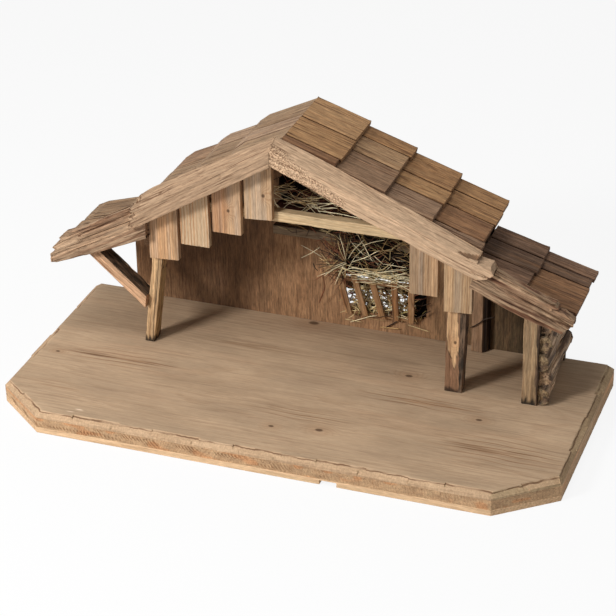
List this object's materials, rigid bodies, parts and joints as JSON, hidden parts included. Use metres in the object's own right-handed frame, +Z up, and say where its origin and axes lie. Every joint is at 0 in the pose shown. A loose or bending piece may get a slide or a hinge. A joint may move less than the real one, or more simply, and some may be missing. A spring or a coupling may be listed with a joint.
{
  "type": "nativity stable",
  "caption": "Rustic wooden nativity stable on a plywood board: shingled gable roof with a lean-to roof on either side, posts, hanging front boards, brace, slab side wall and a hay rack",
  "frame": {"origin": "middle of the underside of the base board, on the surface it stands on", "axes": "+X to the right seen from the open front, +Y from the open front to the back wall, +Z up"},
  "size_m": [0.65, 0.3, 0.3165],
  "materials": {
    "base_wood": "planed softwood plywood, hewn edges",
    "barge_wood": "split softwood, chiselled ends",
    "shingle_wood": "stained split shingles",
    "lean_shingle_wood": "dark stained split shingles",
    "pale_wood": "pale sawn softwood",
    "post_wood": "split posts with bark left on the sides",
    "wall_wood": "brown stained veneered board",
    "bark": "bark slabs",
    "frame_wood": "brown stained battens and boards",
    "rack_wood": "stained sticks",
    "ledge_wood": "weathered grey wood",
    "steel": "bright steel",
    "hay": "dry loose hay and straw"
  },
  "bodies": {
    "root": {"base_bottom_ply": "base_wood", "base_core_ply": "base_wood", "base_top_ply": "base_wood", "base_screws": "steel", "post_front_left": "post_wood", "post_front_right": "post_wood", "post_outer_right": "post_wood", "post_rear_right": "post_wood", "rafter_left": "frame_wood", "rafter_right": "frame_wood", "ridge_beam": "frame_wood", "collar_beam": "pale_wood", "ledger_left": "frame_wood", "ledger_right": "frame_wood", "eave_plate_left": "frame_wood", "eave_plate_right": "frame_wood", "brace_left": "post_wood", "back_wall": "wall_wood", "side_slab_1": "bark", "side_slab_2": "bark", "side_slab_3": "bark", "side_slab_4": "bark", "side_slab_5": "bark", "roof_board_left": "frame_wood", "roof_board_right": "frame_wood", "lean_board_left": "frame_wood", "lean_board_right": "frame_wood", "left_course_1": "shingle_wood", "left_course_2": "shingle_wood", "left_course_3": "shingle_wood", "right_course_1": "shingle_wood", "right_course_2": "shingle_wood", "right_course_3": "shingle_wood", "right_course_4": "shingle_wood", "lean_left_course_1": "lean_shingle_wood", "lean_left_course_2": "lean_shingle_wood", "lean_right_course_1": "lean_shingle_wood", "lean_right_course_2": "lean_shingle_wood", "barge_left": "barge_wood", "barge_right": "barge_wood", "lean_barge_left": "barge_wood", "lean_barge_right": "barge_wood", "apron_1": "pale_wood", "apron_2": "pale_wood", "apron_3": "pale_wood", "apron_4": "pale_wood", "apron_5": "pale_wood", "apron_6": "pale_wood", "apron_pins": "steel", "rack_bottom_rail": "rack_wood", "rack_top_rail": "rack_wood", "rack_slats": "rack_wood", "hay_ledge": "ledge_wood", "rack_hay": "hay", "loft_hay": "hay"}
  },
  "joints": []
}
